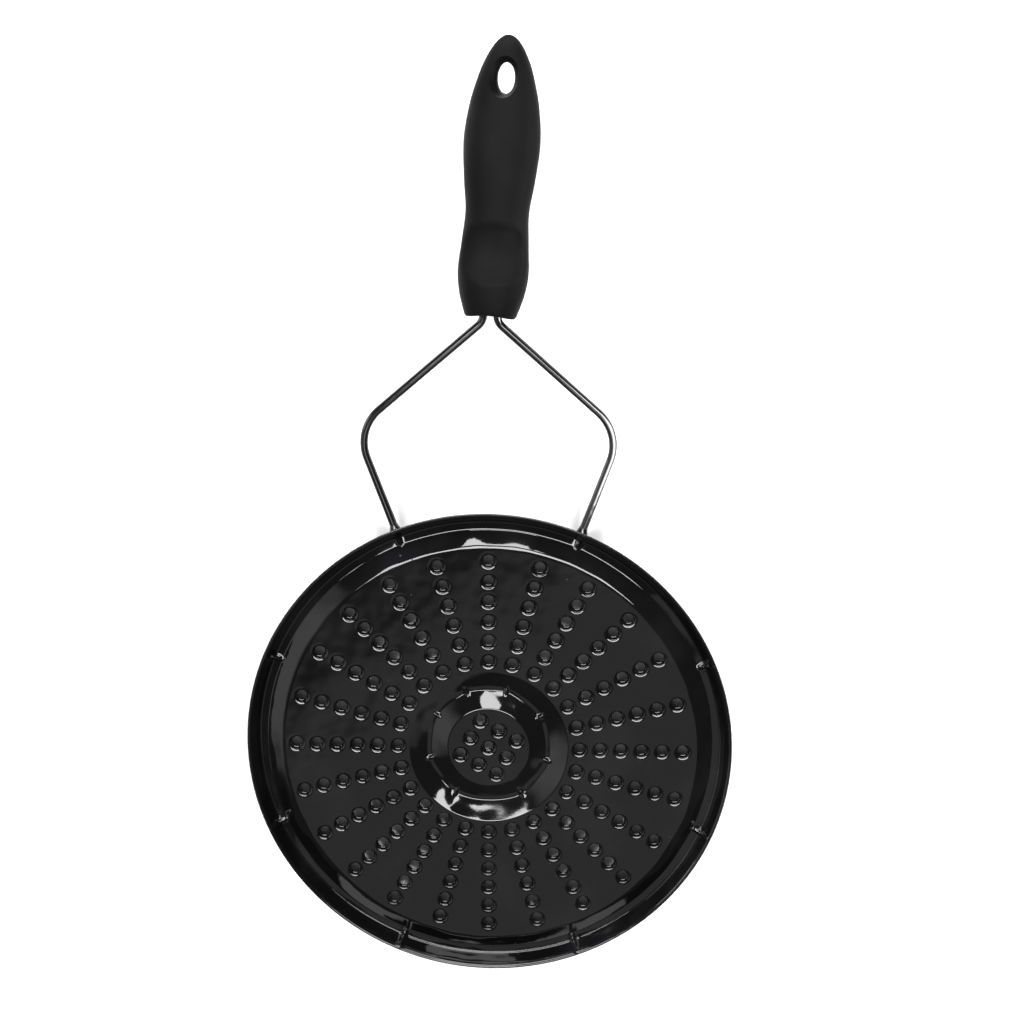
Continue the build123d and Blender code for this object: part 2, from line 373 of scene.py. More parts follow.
# ------------------------------------------------------------------ mesh helpers
def finish_piece(shape, name, material, nodes, sharp_angle=None, lamps=()):
    """Turns a bmesh into a piece at the origin that rides on the body and replaces its CAD nodes.

    lamps names the extra light groups that light this piece.
    """
    for face in shape.faces:
        face.smooth = True
    mesh = bpy.data.meshes.new(name)
    shape.to_mesh(mesh)
    shape.free()
    if sharp_angle is not None:
        mesh.set_sharp_from_angle(angle=sharp_angle)
    mesh.materials.append(bpy.data.materials[material])
    piece = bpy.data.objects.new(name, mesh)
    for group in ("not_floor", *lamps):
        bpy.data.collections[group].objects.link(piece)
    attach(piece, BODY)
    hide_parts(*nodes)
    return piece


def edges_between(verts):
    """The edges with both ends in verts."""
    wanted = set(verts)
    return [e for v in wanted for e in v.link_edges if e.verts[0] is v and e.other_vert(v) in wanted]


def rounded_line(points, bends, arc_steps=5):
    """Points of a line whose inner corners are arcs, each with its direction there.

    Points are (radius, height); the result is a list of (position, unit normal to the left).
    """
    line = [Vector(p) for p in points]
    result = []

    def add(position, direction):
        result.append((position, Vector((-direction.y, direction.x)).normalized()))

    add(line[0], line[1] - line[0])
    for corner, before, after, bend in zip(line[1:-1], line, line[2:], bends):
        come = (corner - before).normalized()
        leave = (after - corner).normalized()
        turn = come.angle_signed(leave)
        reach = bend * math.tan(abs(turn) / 2)
        for step in range(arc_steps + 1):
            share = step / arc_steps
            direction = come.slerp(leave, share)
            chord = 2 * bend * math.sin(abs(turn) * share / 2)
            along = come.slerp(leave, share / 2)
            add(corner - come * reach + along * chord, direction)
    add(line[-1], line[-1] - line[-2])
    return result


def fill_runs(line, step=0.9 * MM):
    """The same line with more points along its straight runs, so that they can be shaped."""
    result = [line[0]]
    for (before, _), (after, normal) in zip(line, line[1:]):
        parts = math.ceil((after - before).length / step)
        for part in range(1, parts):
            result.append((before.lerp(after, part / parts), normal))
        result.append((after, normal))
    return result


def profile_edges(shape, points, angle=0.0):
    """A chain of vertices and edges in the upright plane through the axis at the given angle."""
    out = Vector((math.cos(angle), math.sin(angle), 0))
    verts = [shape.verts.new(out * radius + UP * height) for radius, height in points]
    edges = [shape.edges.new(pair) for pair in zip(verts, verts[1:])]
    return verts, edges


def spin_profile(shape, points, steps, centre=ORIGIN):
    """Adds a (radius, height) profile turned all the way round an upright axis; returns its vertices."""
    turned = bmesh.new()
    verts, edges = profile_edges(turned, points)
    bmesh.ops.spin(
        turned,
        geom=verts + edges,
        cent=ORIGIN,
        axis=UP,
        angle=2 * math.pi,
        steps=steps,
        use_merge=True,
    )
    bmesh.ops.translate(turned, verts=turned.verts, vec=centre)
    mesh = bpy.data.meshes.new("turned")
    turned.to_mesh(mesh)
    turned.free()
    first = len(shape.verts)
    shape.from_mesh(mesh)
    bpy.data.meshes.remove(mesh)
    shape.verts.ensure_lookup_table()
    return shape.verts[first:]


def smooth_step(value):
    """0 below 0, 1 above 1, and a smooth rise between."""
    value = min(max(value, 0.0), 1.0)
    return value * value * (3 - 2 * value)


# ------------------------------------------------------------------ plate
OUTER_PINCHES = [math.radians(22.5 + 45 * index) for index in range(8)]
INNER_PINCHES = [math.radians(angle) for angle in (31, 73, 112, 150, 195, 237, 303, 345)]


def nearest_pinch(angle, pinches):
    """Signed angle from the nearest pinch, and half the gap to the pinch on that side."""
    turns = [(angle - p + math.pi) % (2 * math.pi) - math.pi for p in pinches]
    offset = min(turns, key=abs)
    place = turns.index(offset)
    other = pinches[(place + (1 if offset > 0 else -1)) % len(pinches)]
    gap = abs((other - pinches[place] + math.pi) % (2 * math.pi) - math.pi)
    return offset, gap / 2


def crowd_to_pinches(verts, pinches, power):
    """Draws the mesh's radial lines together at the pinches, where the sheet has fine shape."""
    for vert in verts:
        angle = math.atan2(vert.co.y, vert.co.x)
        offset, half = nearest_pinch(angle, pinches)
        share = min(abs(offset) / half, 1.0)
        turn = math.copysign(share**power * half, offset) - offset
        vert.co = Matrix.Rotation(turn, 3, "Z") @ vert.co


def press_pinches(verts, pinches, radius, reach, width, height):
    """Raises a small rib across a crease at each pinch, between two slight dips."""
    for vert in verts:
        distance = math.hypot(vert.co.x, vert.co.y)
        across = (distance - radius) / reach
        if abs(across) >= 1:
            continue
        offset, _ = nearest_pinch(math.atan2(vert.co.y, vert.co.x), pinches)
        beside = offset * distance
        window = (1 - across * across) ** 2
        rib = math.exp(-((beside / width) ** 2))
        shoulder = math.exp(-((beside / (2.4 * width)) ** 2))
        vert.co.z += window * height * (rib - 0.25 * (shoulder - rib))


def flatten_arcs(verts, pinches, radius, reach, amount):
    """Draws the groove in between its pinches, so that it runs as soft facets."""
    for vert in verts:
        distance = math.hypot(vert.co.x, vert.co.y)
        across = abs(distance - radius) / reach
        if across >= 1:
            continue
        offset, half = nearest_pinch(math.atan2(vert.co.y, vert.co.x), pinches)
        sink = (1 - math.cos(half)) * smooth_step(abs(offset) / half)
        vert.co.xy = vert.co.xy * (1 - amount * (1 - across**2) * sink)


def wave_sheet(verts, near, far, height, length):
    """Gives the sheet between two radii slow waves of this height and length, as pressing leaves it."""
    for vert in verts:
        share = (math.hypot(vert.co.x, vert.co.y) - near) / (far - near)
        if 0 < share < 1:
            place = Vector((vert.co.x, vert.co.y, 0)) / length
            vert.co.z += height * math.sin(math.pi * share) * noise.noise(place)


def sheet_section(upper, sheet):
    """Both sides of a stretch of sheet, from its (position, normal) line; the lower runs back."""
    top = [tuple(position) for position, _ in upper]
    bottom = [tuple(position - normal * sheet) for position, normal in upper]
    return top, bottom[::-1]


# Where each dimple meets the flat floor, the outside of its shoulder, and its flat round the vent.
DIMPLE_EDGE = 4.32 * MM
DIMPLE_SHOULDER = 4.12 * MM
VENT_COLLAR = 0.32 * MM


def dimple_profile(size, depth, hole, sheet, floor):
    """Section of one dimple: down its soft shoulder, through the vent, and back under the sheet."""
    foot = hole + VENT_COLLAR
    low = floor - depth
    fall = size - foot
    # Share of the way from the shoulder to the foot, and share of the depth there.
    flank = [(0.0, 0.0), (0.1, 0.012), (0.2, 0.034), (0.34, 0.071), (0.48, 0.115), (0.6, 0.164)]
    flank += [(0.68, 0.26), (0.78, 0.48), (0.9, 0.75), (0.97, 0.92)]
    upper = [(size - share * fall, floor - down * depth) for share, down in flank]
    vent = [
        (foot - 0.14 * MM, low - 0.02 * MM),
        (hole + 0.06 * MM, low - 0.1 * MM),
        (hole, low - 0.3 * MM),
        (hole, low - sheet + 0.3 * MM),
        (hole + 0.12 * MM, low - sheet + 0.04 * MM),
    ]
    # Distance outside the foot in mm, and share of the depth left to climb, back up under the flank.
    climb = [(0.15, 1.0), (0.5, 0.9), (0.85, 0.55), (1.1, 0.2), (1.3, 0.04)]
    under = [(foot + out * MM, floor - sheet - left * depth) for out, left in climb]
    under.append((size - 0.05 * MM, floor - sheet))
    return [(DIMPLE_EDGE, floor)] + upper + vent + under + [(DIMPLE_EDGE, floor - sheet)]


def dimple_places(plate, outer_ring):
    """Where the dimples stand: rings of radial rows, and a turned square group in the middle."""
    places = []
    for ring in range(plate.rings):
        radius = outer_ring - ring * plate.ring_pitch
        for spoke in range(plate.spokes):
            angle = spoke * 2 * math.pi / plate.spokes
            places.append(Vector((radius * math.cos(angle), radius * math.sin(angle), 0)))
    turn = Matrix.Rotation(plate.grid_turn, 3, "Z")
    for column in (-1, 0, 1):
        for row in (-1, 0, 1):
            places.append(turn @ Vector((column * plate.grid_pitch, row * plate.grid_pitch, 0)))
    return places


def fill_floor(shape, level, near, far):
    """Fills the flat sheet between the open loops that lie at this level and between two radii."""
    rim = []
    for edge in shape.edges:
        middle = (edge.verts[0].co + edge.verts[1].co) / 2
        if edge.is_boundary and abs(middle.z - level) < 1e-6 and near < middle.xy.length < far:
            rim.append(edge)
    bmesh.ops.triangle_fill(shape, use_beauty=True, edges=rim, normal=UP)


class DIFFUSER_OT_plate(bpy.types.Operator):
    """Builds the pressed, pierced and enamelled dish."""

    bl_idname = "diffuser.plate"
    bl_label = "Plate"

    def execute(self, context):
        plate = context.scene.diffuser_plate
        sheet = plate.sheet
        groove = PLATE_LOW.z + sheet
        floor = groove + plate.groove_depth
        lip = PLATE_HIGH.z
        crease = PLATE_RADIUS - plate.lip_width
        floor_rim = crease - plate.outer_slope
        edge_middle = PLATE_RADIUS - sheet / 2

        outer_points = [
            (floor_rim - 1.5 * MM, floor),
            (floor_rim, floor),
            (floor_rim + 6.9 * MM, groove + 0.22 * MM),
            (crease - 0.6 * MM, groove),
            (crease, groove),
            (PLATE_RADIUS - plate.lip_edge, lip),
            (edge_middle, lip),
        ]
        outer_bends = [bend * MM for bend in (5.8, 2.2, 2.0, 1.2, 1.5)]
        outer_line = fill_runs(rounded_line(outer_points, outer_bends, 6))
        upper, lower = sheet_section(outer_line, sheet)
        half, rim_round = sheet / 2, []
        for step in range(1, 6):
            angle = math.pi * (0.5 - step / 6)
            rim_round.append((edge_middle + half * math.cos(angle), lip - half + half * math.sin(angle)))

        inner_points = [
            (plate.centre_floor - 0.5 * MM, floor),
            (plate.centre_floor, floor),
            (plate.inner_crease - 0.8 * MM, groove),
            (plate.inner_crease + 0.8 * MM, groove),
            (plate.inner_floor, floor),
            (plate.inner_floor + 0.4 * MM, floor),
        ]
        inner_bends = [bend * MM for bend in (2.2, 2.0, 2.0, 1.8)]
        inner_line = fill_runs(rounded_line(inner_points, inner_bends, 5))
        inner_upper, inner_lower = sheet_section(inner_line, sheet)

        shape = bmesh.new()
        outer_steps, inner_steps, dimple_steps = 320, 240, 24
        outer = spin_profile(shape, upper + rim_round + lower, outer_steps)
        crowd_to_pinches(outer, OUTER_PINCHES, power=1.7)
        press_pinches(
            outer, OUTER_PINCHES, crease - 0.3 * MM, reach=4.4 * MM, width=0.85 * MM, height=1.9 * MM
        )
        wave_sheet(outer, floor_rim, crease, height=0.42 * MM, length=12 * MM)
        inner = spin_profile(shape, inner_upper, inner_steps)
        inner += spin_profile(shape, inner_lower, inner_steps)
        crowd_to_pinches(inner, INNER_PINCHES, power=1.4)
        flatten_arcs(inner, INNER_PINCHES, plate.inner_crease, reach=8.2 * MM, amount=0.25)
        press_pinches(
            inner, INNER_PINCHES, plate.inner_crease, reach=2.4 * MM, width=0.8 * MM, height=0.8 * MM
        )
        wave_sheet(inner, plate.centre_floor, plate.inner_floor, height=0.42 * MM, length=9 * MM)

        dice = random.Random(11)
        spread = plate.unevenness
        for place in dimple_places(plate, floor_rim - plate.ring_margin):
            size = DIMPLE_SHOULDER * (1 + spread * dice.uniform(-1.0, 0.2))
            hole = plate.hole_radius * (1 + spread * dice.uniform(-1.0, 1.0))
            depth = plate.dimple_depth * (1 + 2 * spread * dice.uniform(-1.0, 1.0))
            section = dimple_profile(size, depth, hole, sheet, floor)
            spin_profile(shape, section, dimple_steps, place)

        for level in (floor, floor - sheet):
            fill_floor(shape, level, 0.0, plate.inner_crease)
            fill_floor(shape, level, plate.inner_crease, PLATE_RADIUS)
        bmesh.ops.recalc_face_normals(shape, faces=shape.faces)
        open_edges = sum(1 for edge in shape.edges if not edge.is_manifold)
        if open_edges:
            raise RuntimeError(f"the plate has {open_edges} open edges")
        finish_piece(shape, "enamelled_plate", "dish_enamel_gloss", ["plate"])
        return {"FINISHED"}


# ------------------------------------------------------------------ wire frame
def frame_matrix(wires):
    """Places the plane of the wire frame, which climbs from the lip towards the grip."""
    place = Matrix.Translation((0, PLATE_RADIUS * math.cos(wires.leg_place), wires.height))
    return place @ Matrix.Rotation(wires.rise, 4, "X")


def wire_corners(wires, side):
    """Corner points of one wire in the frame's plane: leg end, shoulder, neck, and end in the grip."""
    leg = Vector((math.sin(wires.leg_angle), math.cos(wires.leg_angle), 0))
    root = Vector((PLATE_RADIUS * math.sin(wires.leg_place), 0, 0))
    shoulder = root + leg * wires.leg_length
    climb = (shoulder.x - wires.neck_half_gap) * math.tan(wires.arm_angle)
    neck = Vector((wires.neck_half_gap, shoulder.y + climb, 0))
    corners = [root - leg * wires.leg_tuck, shoulder, neck]
    for corner in corners:
        corner.x *= side
    neck.x += wires.neck_shift
    grip_way = Vector((math.sin(wires.lean), math.cos(wires.lean), 0))
    return corners + [neck + grip_way * wires.socket_run]


def bent_wire(shape, corners, bends, radius, sides=24):
    """Sweeps a round wire along straight runs and arcs, by extruding and spinning its end ring."""
    heading = (corners[1] - corners[0]).normalized()
    turn_flat = UP.cross(heading)
    start = Matrix.Translation(corners[0]) @ Matrix((heading, turn_flat, UP)).transposed().to_4x4()
    start = start @ Matrix.Rotation(math.pi / 2, 4, "Y")
    ring = bmesh.ops.create_circle(
        shape, cap_ends=True, segments=sides, radius=radius, matrix=start
    )["verts"]
    edges = edges_between(ring)
    here = corners[0]
    for corner, after, bend in zip(corners[1:], corners[2:] + [None], list(bends) + [None]):
        heading = (corner - here).normalized()
        if after is None:
            goal, turn = corner, 0.0
        else:
            leave = (after - corner).normalized()
            turn = math.atan2(heading.cross(leave).z, heading.dot(leave))
            goal = corner - heading * bend * math.tan(abs(turn) / 2)
        runs = max(1, int((goal - here).length / (6 * MM)))
        for _ in range(runs):
            grown = bmesh.ops.extrude_edge_only(shape, edges=edges)["geom"]
            ring = [item for item in grown if isinstance(item, bmesh.types.BMVert)]
            edges = edges_between(ring)
            bmesh.ops.translate(shape, verts=ring, vec=(goal - here) / runs)
        here = goal
        if after is None:
            break
        side = math.copysign(1.0, turn)
        centre = goal + UP.cross(heading) * side * bend
        steps = max(4, int(abs(turn) / math.radians(4)))
        spun = bmesh.ops.spin(
            shape, geom=edges, cent=centre, axis=UP, angle=turn, steps=steps
        )["geom_last"]
        ring = [item for item in spun if isinstance(item, bmesh.types.BMVert)]
        edges = edges_between(ring)
        here = centre + Matrix.Rotation(turn, 3, "Z") @ (goal - centre)
    bmesh.ops.contextual_create(shape, geom=edges)


class DIFFUSER_OT_wires(bpy.types.Operator):
    """Builds the two bent wires of the frame."""

    bl_idname = "diffuser.wires"
    bl_label = "Wires"

    def execute(self, context):
        wires = context.scene.diffuser_wires
        for name, side in (("left", -1), ("right", 1)):
            shape = bmesh.new()
            corners = wire_corners(wires, side)
            bent_wire(shape, corners, (wires.shoulder_bend, wires.neck_bend), wires.radius)
            bmesh.ops.transform(shape, matrix=frame_matrix(wires), verts=shape.verts)
            bmesh.ops.recalc_face_normals(shape, faces=shape.faces)
            finish_piece(
                shape,
                "bent_wire_" + name,
                "frame_enamel_gloss",
                ["wire_" + name],
                sharp_angle=math.radians(50),
                lamps=["only_wires", "only_right_wire"][: 1 + (side > 0)],
            )
        return {"FINISHED"}


class DIFFUSER_OT_welds(bpy.types.Operator):
    """Builds the enamelled weld beads between the legs and the lip."""

    bl_idname = "diffuser.welds"
    bl_label = "Weld beads"

    def execute(self, context):
        wires = context.scene.diffuser_wires
        # Distance along the leg from its end, and radius, from inside the lip outwards.
        bead = [(-1.7, 0.2), (-1.6, 1.5), (-1.0, 2.4), (-0.1, 2.55), (0.6, 2.3), (1.3, 2.0), (2.1, 1.82)]
        profile = [(radius * MM, along * MM) for along, radius in bead]
        inside_wire = (wires.radius * 0.9, 2.9 * MM)
        profile.append(inside_wire)
        for name, side in (("left", -1), ("right", 1)):
            dice = random.Random(side + 5)
            shape = bmesh.new()
            verts = spin_profile(shape, profile, 24)
            open_ends = [edge for edge in shape.edges if edge.is_boundary]
            bmesh.ops.holes_fill(shape, edges=open_ends, sides=0)
            for vert in verts:
                swell = 1 + 0.07 * math.sin(3 * math.atan2(vert.co.y, vert.co.x) + dice.uniform(0, 0.3))
                if vert.co.z < 1.5 * MM:
                    vert.co.xy = vert.co.xy * swell
            corners = wire_corners(wires, side)
            heading = (corners[1] - corners[0]).normalized()
            across = UP.cross(heading)
            turn = Matrix((across, UP, heading)).transposed().to_4x4()
            place = frame_matrix(wires) @ Matrix.Translation(corners[0]) @ turn
            bmesh.ops.transform(shape, matrix=place, verts=shape.verts)
            bmesh.ops.recalc_face_normals(shape, faces=shape.faces)
            finish_piece(shape, "weld_bead_" + name, "frame_enamel_gloss", ["weld_" + name])
        return {"FINISHED"}


# ------------------------------------------------------------------ grip
# Share of the length, half width and half thickness in mm, from the base to the tip.
GRIP_SECTIONS = [
    (0.000, 10.3, 7.2),
    (0.040, 11.7, 8.0),
    (0.090, 13.2, 8.8),
    (0.165, 14.2, 9.2),
    (0.270, 13.4, 8.9),
    (0.385, 12.6, 8.4),
    (0.500, 14.0, 8.5),
    (0.635, 15.0, 8.4),
    (0.755, 13.6, 7.7),
    (0.840, 11.4, 6.9),
    (0.915, 8.5, 5.6),
]


def section_at(share):
    """Half width and half thickness at a share of the grip's length, on a smooth curve."""
    rows = GRIP_SECTIONS
    last_share, last_width, last_thickness = rows[-1]
    if share >= last_share:
        round_off = math.sqrt(max(1 - share, 0.0) / (1 - last_share)) * MM
        return [last_width * round_off, last_thickness * round_off]
    index = 1
    while index < len(rows) - 1 and rows[index][0] < share:
        index += 1
    before, after = rows[index - 1], rows[index]
    outer = (rows[max(index - 2, 0)], rows[min(index + 1, len(rows) - 1)])
    span = after[0] - before[0]
    t = (share - before[0]) / span
    result = []
    for column in (1, 2):
        start = (after[column] - outer[0][column]) / (after[0] - outer[0][0]) * span
        stop = (outer[1][column] - before[column]) / (outer[1][0] - before[0]) * span
        if index == 1:
            start = after[column] - before[column]
        if index == len(rows) - 1:
            stop = -0.5 * after[column] * span / (1 - after[0])
        a, b = before[column], after[column]
        value = (2 * t**3 - 3 * t**2 + 1) * a + (t**3 - 2 * t**2 + t) * start
        value += (3 * t**2 - 2 * t**3) * b + (t**3 - t**2) * stop
        result.append(value * MM)
    return result


def grip_matrix(wires, grip):
    """Places the grip: x across it, y along it from base to tip, z out of its thumb side."""
    neck = wire_corners(wires, 1)[2]
    along = Vector((math.sin(wires.lean), math.cos(wires.lean), 0))
    base = Vector((wires.neck_shift, neck.y, 0)) + along * grip.start
    return frame_matrix(wires) @ Matrix.Translation(base) @ Matrix.Rotation(-wires.lean, 4, "Z")


def grip_ring(shape, place, half_width, half_thickness, sides):
    """One cross section of the grip, a slightly squared oval, standing across its length."""
    stand = Matrix.Translation((0, place, 0)) @ Matrix.Rotation(math.pi / 2, 4, "X")
    verts = bmesh.ops.create_circle(shape, segments=sides, radius=1.0, matrix=stand)["verts"]
    squared = 2 / 2.25
    for vert in verts:
        angle = math.atan2(vert.co.z, vert.co.x)
        x = math.copysign(abs(math.cos(angle)) ** squared, math.cos(angle))
        z = math.copysign(abs(math.sin(angle)) ** squared, math.sin(angle))
        vert.co.x = x * half_width
        vert.co.z = z * half_thickness
    return edges_between(verts)


def oval_cutter(name, layers, centre, lean, sides=64):
    """A closed cutter made of stacked ovals: (height, half width, half length) each.

    Each oval moves by lean for each unit of its spread, away from the grip's middle plane.
    """
    narrow = min(half_width for _, half_width, _ in layers)
    shape = bmesh.new()
    rings = []
    for height, half_width, half_length in layers:
        spread = half_width - narrow
        stand = Matrix.Translation(centre + Vector((2 * lean[0] * spread, 2 * lean[1] * spread, height)))
        stand = stand @ Matrix.Diagonal((half_width, half_length, 1.0, 1.0))
        ring = bmesh.ops.create_circle(shape, segments=sides, radius=1.0, matrix=stand)["verts"]
        rings.append(edges_between(ring))
    for below, above in zip(rings, rings[1:]):
        bmesh.ops.bridge_loops(shape, edges=below + above)
    for end in (rings[0], rings[-1]):
        bmesh.ops.contextual_create(shape, geom=end)
    bmesh.ops.recalc_face_normals(shape, faces=shape.faces)
    mesh = bpy.data.meshes.new(name)
    shape.to_mesh(mesh)
    shape.free()
    cutter = bpy.data.objects.new(name, mesh)
    bpy.context.scene.collection.objects.link(cutter)
    return cutter


def cut_with(mesh, cutter):
    """The mesh with the cutter taken away, as a new mesh; the cutter is removed."""
    holder = bpy.data.objects.new("cut_holder", mesh)
    bpy.context.scene.collection.objects.link(holder)
    cut = holder.modifiers.new("cut", "BOOLEAN")
    cut.operation = "DIFFERENCE"
    cut.solver = "EXACT"
    cut.object = cutter
    bpy.context.view_layer.update()
    shown = holder.evaluated_get(bpy.context.evaluated_depsgraph_get())
    result = bpy.data.meshes.new_from_object(shown)
    bpy.data.objects.remove(holder)
    bpy.data.objects.remove(cutter)
    return result


class DIFFUSER_OT_grip(bpy.types.Operator):
    """Builds the moulded grip, with its thumb recess and hang hole."""

    bl_idname = "diffuser.grip"
    bl_label = "Grip"

    def execute(self, context):
        wires = context.scene.diffuser_wires
        grip = context.scene.diffuser_grip
        sides, stations, crowding = 96, 120, 1.8
        shape = bmesh.new()

        # The base: a flat face that dips round the wires, with a rounded edge. Depth in mm, and share
        # of the half width.
        half_width, half_thickness = section_at(0.0)
        base = [(2.4, 0.2), (2.0, 0.42), (1.2, 0.56), (0.3, 0.66), (0.0, 0.92), (0.12, 0.965), (0.45, 0.99)]
        rings = []
        for depth, share in base:
            rings.append(grip_ring(shape, depth * MM, half_width * share, half_thickness * share, sides))
        first = 0.9 * MM / grip.length
        for station in range(stations):
            even = station / (stations - 0.6)
            share = first + (1 - first) * (1 - (1 - even) ** crowding)
            half_width, half_thickness = section_at(share)
            rings.append(grip_ring(shape, share * grip.length, half_width, half_thickness, sides))
        for below, above in zip(rings, rings[1:]):
            bmesh.ops.bridge_loops(shape, edges=below + above)
        for end in (rings[0], rings[-1]):
            bmesh.ops.contextual_create(shape, geom=end)

        for vert in shape.verts:
            self.arch_base(vert, grip)
            self.press_recess(vert, grip)
        bmesh.ops.recalc_face_normals(shape, faces=shape.faces)
        mesh = bpy.data.meshes.new("grip_blank")
        shape.to_mesh(mesh)
        shape.free()

        mesh = cut_with(mesh, self.hang_hole_cutter(grip))
        shape = bmesh.new()
        shape.from_mesh(mesh)
        bmesh.ops.transform(shape, matrix=grip_matrix(wires, grip), verts=shape.verts)
        finish_piece(
            shape,
            "moulded_grip",
            "grip_plastic_satin",
            ["grip"],
            sharp_angle=math.radians(34),
            lamps=["only_grip"],
        )
        return {"FINISHED"}

    def arch_base(self, vert, grip):
        """Arches the base slightly, highest between the two wires, and fades out up the grip."""
        half_span, fade_length = 10 * MM, 6 * MM
        fade = 1 - smooth_step(vert.co.y / fade_length)
        bow = math.cos(min(abs(vert.co.x) / half_span, 1.0) * math.pi / 2)
        vert.co.y += grip.base_arch * fade * bow

    def press_recess(self, vert, grip):
        """Scoops the thumb recess into the upper side, with a soft ridge at its far edge."""
        if vert.co.z <= 0:
            return
        along = (vert.co.y - grip.recess_place) / grip.recess_half_length
        half_width, half_thickness = section_at(min(max(vert.co.y / grip.length, 0.0), 1.0))
        across = vert.co.x / (1.12 * half_width)
        reach = along * along + across * across
        if reach >= 1:
            return
        facing = smooth_step(vert.co.z / (0.75 * half_thickness))
        vert.co.z -= grip.recess_depth * (1 - reach) ** 0.9 * facing

    def hang_hole_cutter(self, grip):
        """An hourglass of ovals: the hole's wall in the middle and a rounded mouth on both faces."""
        wide, tall = grip.hole_half_width, grip.hole_half_length
        # Height and how far the mouth spreads there, in mm.
        mouth = [(1.6, 0.0), (2.6, 0.12), (3.6, 0.55), (4.6, 1.25), (5.6, 2.1), (6.6, 2.75), (9.0, 4.2)]
        layers = [(-h * MM, wide + s * MM, tall + s * MM) for h, s in reversed(mouth)]
        layers += [(h * MM, wide + s * MM, tall + s * MM) for h, s in mouth]
        return oval_cutter("hang_cutter", layers, Vector((0, grip.hole_place, 0)), (-0.16, 0.3))


# ------------------------------------------------------------------ studio
def aim_light(name, place, target, size, power):
    """A rectangular softbox that faces a point."""
    light = bpy.data.lights.new(name, "AREA")
    light.shape = "RECTANGLE"
    light.size, light.size_y = size
    light.energy = power
    lamp = bpy.data.objects.new(name, light)
    bpy.context.scene.collection.objects.link(lamp)
    lamp.location = place
    lamp.rotation_mode = "QUATERNION"
    lamp.rotation_quaternion = (Vector(target) - Vector(place)).to_track_quat("-Z", "Y")
    return lamp


def make_world(scene):
    """A dim studio with two soft panels, above the front and on the left; the camera sees white."""
    world = bpy.data.worlds.new("studio_air")
    world.use_nodes = True
    nodes, links = world.node_tree.nodes, world.node_tree.links
    direction = nodes.new("ShaderNodeTexCoord").outputs["Generated"]
    total = 0.07
    # Direction, degrees to the outer and inner edge of the soft border, and strength.
    panels = [
        ((0.15, -0.62, 0.77), 28.5, 23.5, 0.33),
        ((-0.78, -0.1, 0.6), 29.0, 5.0, 0.8),
    ]
    for way, outer, inner, strength in panels:
        facing = nodes.new("ShaderNodeVectorMath")
        facing.operation = "DOT_PRODUCT"
        links.new(direction, facing.inputs[0])
        facing.inputs[1].default_value = Vector(way).normalized()
        fall = nodes.new("ShaderNodeMapRange")
        fall.interpolation_type = "SMOOTHSTEP"
        fall.inputs["From Min"].default_value = math.cos(math.radians(outer))
        fall.inputs["From Max"].default_value = math.cos(math.radians(inner))
        fall.inputs["To Max"].default_value = strength
        links.new(facing.outputs["Value"], fall.inputs["Value"])
        total = math_node(nodes, links, "ADD", fall.outputs["Result"], total)
    seen = nodes.new("ShaderNodeLightPath").outputs["Is Camera Ray"]
    bright = math_node(nodes, links, "MAXIMUM", total, seen)
    links.new(bright, nodes["Background"].inputs["Strength"])
    nodes["Background"].inputs["Color"].default_value = (1.0, 1.0, 1.0, 1.0)
    scene.world = world


